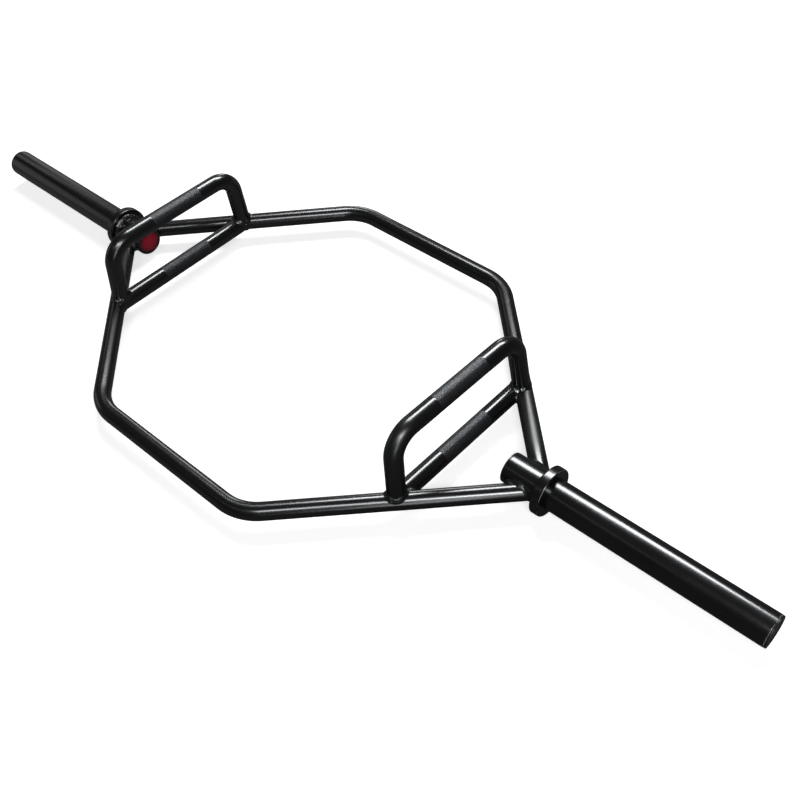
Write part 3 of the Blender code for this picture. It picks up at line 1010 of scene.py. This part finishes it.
def spatter(rows, beneath, seed):
    """Drops beyond a weld's lower toe, on the rod that lies beneath it."""
    drops = []
    for index in range(SPATTER_COUNT):
        pick = int(draw(seed, index * 2.3, 1.1) * 5000) % len(rows)
        toe, rod = rows[pick][FACE_POINTS], beneath[pick]
        away = (toe - rows[pick][FACE_POINTS - 2]).normalized()
        reach = SPATTER_NEAR + SPATTER_FAR * draw(index * 3.1, seed, 2.2)
        place = onto_rod(toe + away * reach, rod)
        size = SPATTER_SIZE * (0.6 + 0.8 * draw(seed, index * 1.7, 0.3))
        drops.append(drop(place, across_rod(place, rod).normalized(), size))
    return drops


def weld_piece(name, runs, nodes, seed):
    """One weld of several runs, with its spatter."""
    shapes = []
    for run, (rows, beneath) in enumerate(runs):
        points = [point for row in rows for point in row]
        shapes.append((points, stitch(rows, len(rows[0]), closed=True)))
        shapes += spatter(rows, beneath, seed + run)
    new_piece(f"{name}_bead", joined(shapes), [WELD_ENAMEL], nodes)


def frame_weld(side, end, seed):
    """Weld round the end of a frame bar on the sleeve."""
    apex, corner = angled_run(side, end)
    branch = Rod(apex, (corner - apex).normalized(), BAR_RADIUS)
    name = f"{side}_{end}_frame_weld"
    weld_piece(name, [saddle_weld(branch, [SLEEVE_ROD], FRAME_BEAD, seed)], [name], seed)


def handle_weld(side, end, seed):
    """Weld round a raised handle's foot, run together with the one round the low handle's end."""
    bar, low = angled_rod(side, end), low_rod(side, end)
    foot = high_foot(side, end)
    leg = Rod(foot, (high_shoulder(side, end) - foot).normalized(), HANDLE_RADIUS)
    joint = [rod._replace(lift=HIGH_FOOT_LIFT) for rod in (bar, low)]
    upper = saddle_weld(leg, joint, FOOT_BEAD, seed)
    bar = bar._replace(lift=LOW_GRIP_SETBACK)
    lower = saddle_weld(low, [bar], LOW_BEAD, seed + LOW_WELD_SEED)
    name = f"{side}_{end}_handle_weld"
    weld_piece(name, [upper, lower], [name], seed)


def collar_weld(side, seed):
    """Weld all round the stub in the corner with the collar."""
    outwards = X_AXIS * SIDES[side]
    centre = Vector((SIDES[side] * COLLAR_X, 0.0, AXIS_HEIGHT))
    corner, upper, lower, outs = [], [], [], []
    for step in range(WELD_STEPS):
        angle = 2 * math.pi * step / WELD_STEPS
        spoke = Vector((0.0, math.cos(angle), math.sin(angle)))
        rim = centre + spoke * SLEEVE_RADIUS
        face_wander, stub_wander = (1.0 + TOE_WANDER * lumpiness(rim, seed + more)
                                    for more in COLLAR_TOE_SEEDS)
        corner.append(rim)
        upper.append(rim + spoke * COLLAR_WELD_FACE * face_wander + outwards * TOE_SINK)
        lower.append(rim - outwards * COLLAR_WELD_STUB * stub_wander - spoke * TOE_SINK)
        outs.append((spoke - outwards).normalized())
    rows = fillet_rows(corner, upper, lower, outs, [COLLAR_CROWN] * WELD_STEPS, seed)
    name = f"{side}_collar_weld"
    weld_piece(name, [(rows, [SLEEVE_ROD] * WELD_STEPS)], [f"{name}_top", f"{name}_bottom"], seed)


for bar_end in ENDS:
    frame_bar(bar_end)
for bar_side, seeds in WELD_SEEDS.items():
    sleeve_tube(bar_side)
    collar(bar_side)
    outer_plug(bar_side)
    inner_plug(bar_side)
    badge(bar_side)
    low_handle(bar_side)
    high_handle(bar_side)
    for bar_end in ENDS:
        frame_seed, handle_seed = seeds[bar_end]
        frame_weld(bar_side, bar_end, frame_seed)
        handle_weld(bar_side, bar_end, handle_seed)
    collar_weld(bar_side, seeds["collar"])


# Floor, world and lamps

FLOOR_HALF = 12.0
FLOOR_UNSEEN = 0.015
FLOOR_WHITE = 0.58
# How strongly glossy rays see the floor, at shares of the way from 1 m left to 1 m right, as
# painted light that is brighter on the left
FLOOR_GLOSSY_PAINTED_LIGHT = [(0.15, 0.095), (0.75, 0.030)]
# The floor's own glow, at shares of a distance from the middle
GLOW_DISTANCE = 10.0
FLOOR_GLOW = [(0.11, 0.68), (0.30, 1.0)]
WORLD_GLOSSY = 0.035
WORLD_UNSEEN = 0.01

# Azimuth and elevation in degrees, distance, width and height, radiance, and roll in degrees
LAMPS = {
    "rear_box": (110.4, 55.3, 3.78, (2.83, 0.96), 14.0, 29.7),
    "front_box": (-49.2, 49.6, 6.27, (2.98, 1.08), 8.5, -19.0),
    "camera_box": (-30.5, 40.3, 2.16, (0.53, 0.46), 9.4, -9.0),
    "front_card": (-41.0, 17.0, 3.41, (0.54, 2.01), 2.7, -16.0),
    "rear_card": (131.3, 13.0, 4.46, (0.78, 1.34), 3.3, -13.0),
    "front_strip": (-107.0, 42.0, 2.60, (1.50, 0.15), 0.45, 0.0),
    "left_card": (-154.0, 10.0, 2.60, (0.90, 1.00), 0.24, 0.0),
    "rear_left_card": (167.0, 27.0, 2.55, (1.20, 0.20), 0.62, 0.0),
    "rear_low_card": (153.7, 10.1, 2.57, (0.50, 0.95), 0.36, 0.0),
}
# Watts per square metre of lamp, for a radiance of 1
LAMP_POWER = 4


def make_floor():
    """White floor that keeps the object's shadow.

    Glossy rays see it dimmer, and least on the right, as in the photograph, which is painted light
    brighter on the left. Its own glow grows with the distance, so that it is white all round while
    the shadow stays.
    """
    mesh = bpy.data.meshes.new("floor")
    signs = ((-1, -1), (1, -1), (1, 1), (-1, 1))
    corners = [(x * FLOOR_HALF, y * FLOOR_HALF, 0.0) for x, y in signs]
    mesh.from_pydata(corners, [], [(0, 1, 2, 3)])
    made, nodes, place = surface("floor_white")
    path = nodes.add("LightPath").outputs
    x = nodes.add("SeparateXYZ", Vector=place).outputs["X"]
    # Painted light: the floor that glossy rays see is brighter on the left than on the right
    glossy_painted_light = nodes.ramp(nodes.maths("MULTIPLY_ADD", x, 0.5, 0.5), FLOOR_GLOSSY_PAINTED_LIGHT)
    seen = nodes.maths("MULTIPLY_ADD", path["Is Glossy Ray"], glossy_painted_light, path["Is Camera Ray"])
    seen = nodes.maths("ADD", seen, path["Is Transmission Ray"], clamp=True)
    colour = nodes.ramp(seen, [(0.0, FLOOR_UNSEEN), (1.0, FLOOR_WHITE)])
    away = nodes.maths("DIVIDE", nodes.measure("LENGTH", place), GLOW_DISTANCE)
    strength = nodes.maths("MULTIPLY", seen, nodes.ramp(away, FLOOR_GLOW))
    both = nodes.add("AddShader")
    nodes.put(both, 0, nodes.add("BsdfDiffuse", Color=colour).outputs[0])
    nodes.put(both, 1, nodes.add("Emission", Strength=strength).outputs[0])
    nodes.finish("OutputMaterial", both)
    mesh.materials.append(made)
    floor = placed("floor", mesh)


def make_world():
    """White to the camera, and a dim plain grey to the object."""
    world = bpy.data.worlds.new("studio")
    bpy.context.scene.world = world
    world.use_nodes = True
    nodes = Nodes(world.node_tree)
    path = nodes.add("LightPath").outputs
    seen = nodes.maths("ADD", path["Is Camera Ray"], path["Is Transmission Ray"])
    seen = nodes.maths("MULTIPLY_ADD", path["Is Glossy Ray"], WORLD_GLOSSY, seen)
    strength = nodes.spread(seen, WORLD_UNSEEN, 1.0)
    background = nodes.add("Background", Color=(1.0, 1.0, 1.0, 1.0), Strength=strength)
    nodes.finish("OutputWorld", background)


def softbox(name, azimuth, elevation, distance, size, radiance, roll):
    """A rectangular lamp that faces the middle of the bar."""
    turn, tilt = math.radians(azimuth), math.radians(elevation)
    level = math.cos(tilt)
    away = Vector((math.cos(turn) * level, math.sin(turn) * level, math.sin(tilt)))
    light = bpy.data.lights.new(name, "AREA")
    light.shape = "RECTANGLE"
    light.size, light.size_y = size
    light.energy = LAMP_POWER * radiance * size[0] * size[1]
    lamp = placed(name, light)
    lamp.location = SLEEVE_ROD.point + away * distance
    lamp.rotation_mode = "QUATERNION"
    rolled = Matrix.Rotation(math.radians(roll), 3, "Z").to_quaternion()
    lamp.rotation_quaternion = away.to_track_quat("Z", "Y") @ rolled
    lamp.visible_camera = False


make_floor()
make_world()
for lamp_name, lamp_values in LAMPS.items():
    softbox(lamp_name, *lamp_values)
